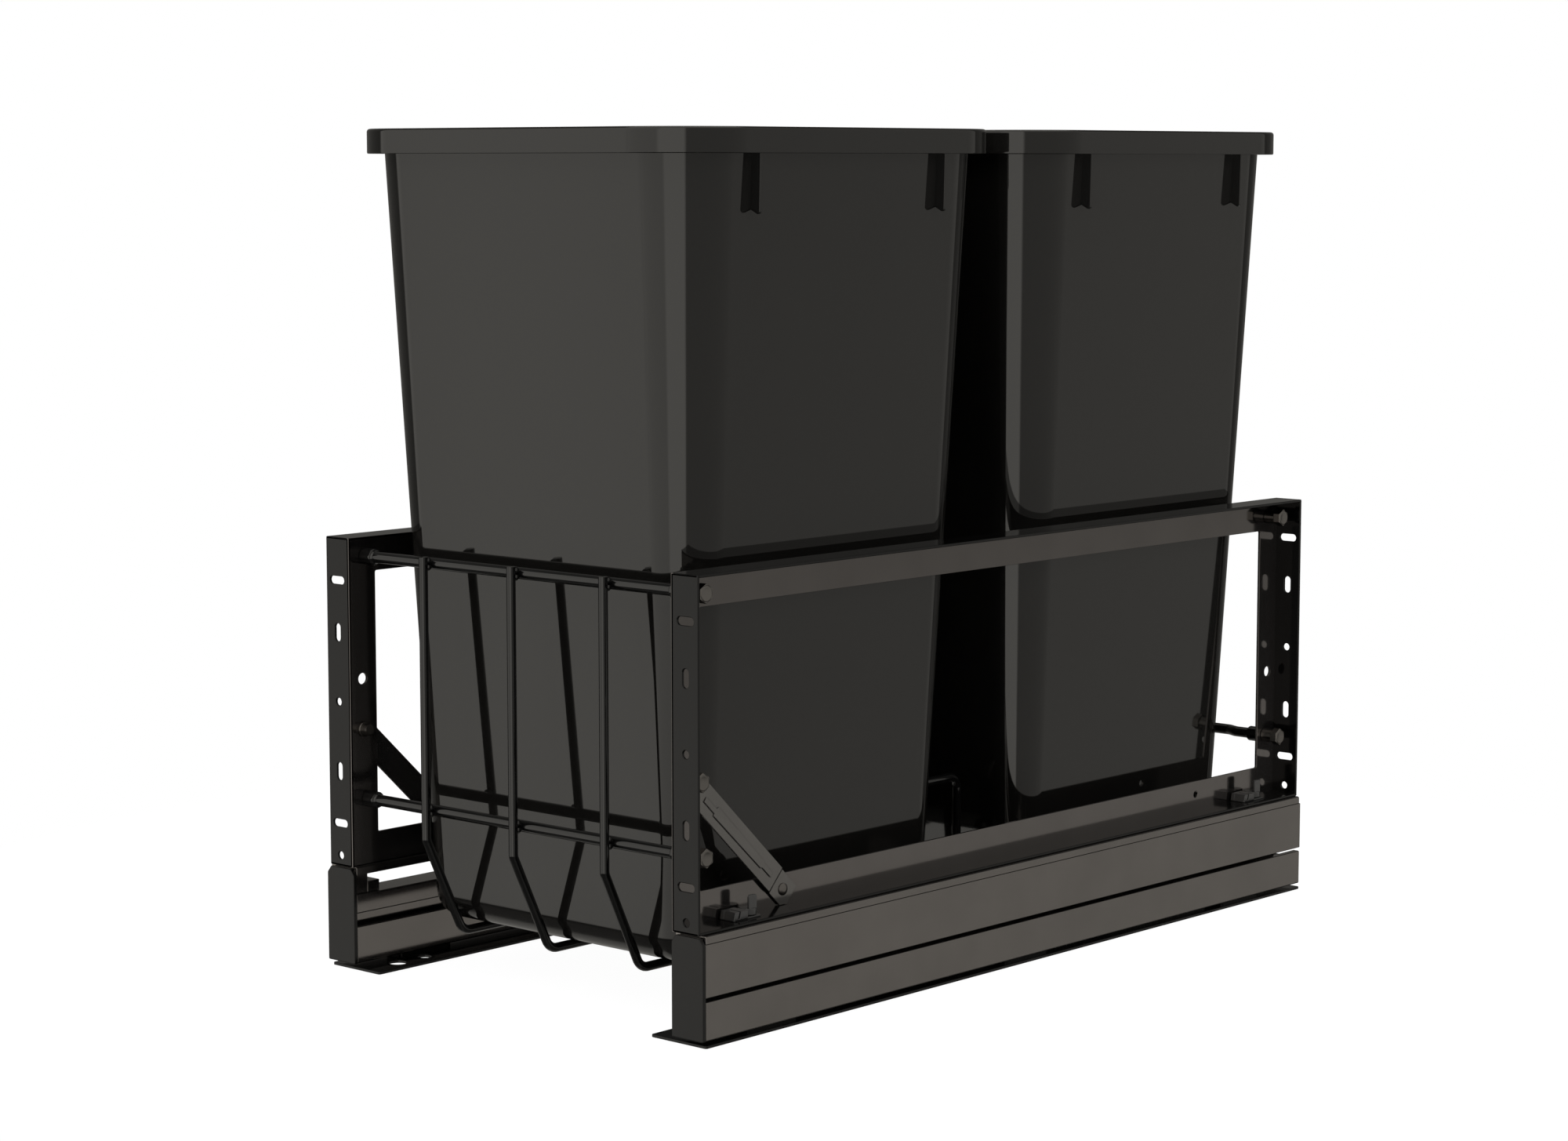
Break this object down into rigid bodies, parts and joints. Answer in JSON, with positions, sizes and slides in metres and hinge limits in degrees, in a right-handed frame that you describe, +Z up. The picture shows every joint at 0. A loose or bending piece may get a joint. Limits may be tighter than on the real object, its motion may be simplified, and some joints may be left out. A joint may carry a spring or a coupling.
{
  "type": "pull-out waste unit",
  "caption": "Pull-out waste unit for a kitchen base cabinet: lift-out bins in a wire basket between pressed side frames on full-extension roller slides.",
  "frame": {"origin": "centre of the footprint, on the underside of the floor plates", "axes": "+X to the right seen from the front, +Y from the front of the unit to its rear, +Z up"},
  "size_m": [0.2988, 0.5662, 0.483],
  "materials": {
    "coated_steel": "gloss black powder coat",
    "coated_wire": "gloss black coated wire",
    "slide_steel": "satin dark grey coat",
    "trim_plastic": "satin dark grey",
    "cage_plastic": "moulded, matt",
    "bolt_steel": "dark coated screws",
    "bin_plastic": "smooth moulded, gloss",
    "buffer_rubber": "moulded, matt"
  },
  "bodies": {
    "cabinet_base": {"floor_plate_right": "coated_steel", "floor_plate_left": "coated_steel", "cabinet_rail_right": "slide_steel", "cabinet_rail_left": "slide_steel", "rear_buffer_right": "buffer_rubber", "rear_buffer_left": "buffer_rubber"},
    "lower_cages": {"lower_roller_cage_right": "cage_plastic", "lower_roller_cage_left": "cage_plastic"},
    "middle_rails": {"middle_rail_right": "slide_steel", "middle_rail_left": "slide_steel"},
    "upper_cages": {"upper_roller_cage_right": "cage_plastic", "upper_roller_cage_left": "cage_plastic"},
    "drawer": {"drawer_rail_right": "slide_steel", "drawer_rail_left": "slide_steel", "front_riser_right": "slide_steel", "front_riser_left": "slide_steel", "rear_riser_right": "slide_steel", "rear_riser_left": "slide_steel", "carrier_channel_right": "coated_steel", "carrier_channel_left": "coated_steel", "end_cap_right": "trim_plastic", "end_cap_left": "trim_plastic", "side_frame_right": "coated_steel", "side_frame_left": "coated_steel", "brace_right": "coated_steel", "brace_left": "coated_steel", "brace_stud_right": "bolt_steel", "brace_stud_left": "bolt_steel", "brace_rivet_right": "bolt_steel", "brace_rivet_left": "bolt_steel", "front_upper_bolt_right": "bolt_steel", "front_upper_bolt_left": "bolt_steel", "front_lower_bolt_right": "bolt_steel", "front_lower_bolt_left": "bolt_steel", "rear_upper_bolt_right": "bolt_steel", "rear_upper_bolt_left": "bolt_steel", "rear_lower_bolt_right": "bolt_steel", "rear_lower_bolt_left": "bolt_steel", "front_clip_body_right": "trim_plastic", "front_clip_body_left": "trim_plastic", "rear_clip_body_right": "trim_plastic", "rear_clip_body_left": "trim_plastic", "rail_cover_right": "slide_steel", "front_upper_crossbar": "coated_wire", "front_lower_crossbar": "coated_wire", "rear_upper_crossbar": "coated_wire", "rear_lower_crossbar": "coated_wire", "basket_wire_left": "coated_wire", "basket_wire_middle": "coated_wire", "basket_wire_right": "coated_wire"},
    "front_clip_right": {"front_clip_turn_right": "trim_plastic"},
    "front_clip_left": {"front_clip_turn_left": "trim_plastic"},
    "rear_clip_right": {"rear_clip_turn_right": "trim_plastic"},
    "rear_clip_left": {"rear_clip_turn_left": "trim_plastic"},
    "front_bin": {"front_bin": "bin_plastic"},
    "rear_bin": {"rear_bin": "bin_plastic"}
  },
  "joints": [
    {"name": "drawer_slide", "type": "slide", "parent": "cabinet_base", "child": "drawer", "axis": [0, -1, 0], "range_m": [0, 0.53]},
    {"name": "lower_cages_roll", "type": "slide", "parent": "cabinet_base", "child": "lower_cages", "axis": [0, -1, 0], "range_m": [0, 0.1325]},
    {"name": "middle_rails_slide", "type": "slide", "parent": "cabinet_base", "child": "middle_rails", "axis": [0, -1, 0], "range_m": [0, 0.265]},
    {"name": "upper_cages_roll", "type": "slide", "parent": "cabinet_base", "child": "upper_cages", "axis": [0, -1, 0], "range_m": [0, 0.3975]},
    {"name": "front_clip_right_turn", "type": "hinge", "parent": "drawer", "child": "front_clip_right", "pos_m": [0.1354, -0.23295, 0.066], "axis": [0, 0, 1], "range_deg": [0, 90]},
    {"name": "front_clip_left_turn", "type": "hinge", "parent": "drawer", "child": "front_clip_left", "pos_m": [-0.1354, -0.23295, 0.066], "axis": [0, 0, -1], "range_deg": [0, 90]},
    {"name": "rear_clip_right_turn", "type": "hinge", "parent": "drawer", "child": "rear_clip_right", "pos_m": [0.1354, 0.24255, 0.066], "axis": [0, 0, 1], "range_deg": [0, 90]},
    {"name": "rear_clip_left_turn", "type": "hinge", "parent": "drawer", "child": "rear_clip_left", "pos_m": [-0.1354, 0.24255, 0.066], "axis": [0, 0, -1], "range_deg": [0, 90]},
    {"name": "front_bin_lift", "type": "slide", "parent": "drawer", "child": "front_bin", "axis": [0, 0, 1], "range_m": [0, 0.5]},
    {"name": "rear_bin_lift", "type": "slide", "parent": "drawer", "child": "rear_bin", "axis": [0, 0, 1], "range_m": [0, 0.5]}
  ],
  "couplings": [
    {"joint": "lower_cages_roll", "follows": "drawer_slide", "ratio": 0.25},
    {"joint": "middle_rails_slide", "follows": "drawer_slide", "ratio": 0.5},
    {"joint": "upper_cages_roll", "follows": "drawer_slide", "ratio": 0.75}
  ]
}
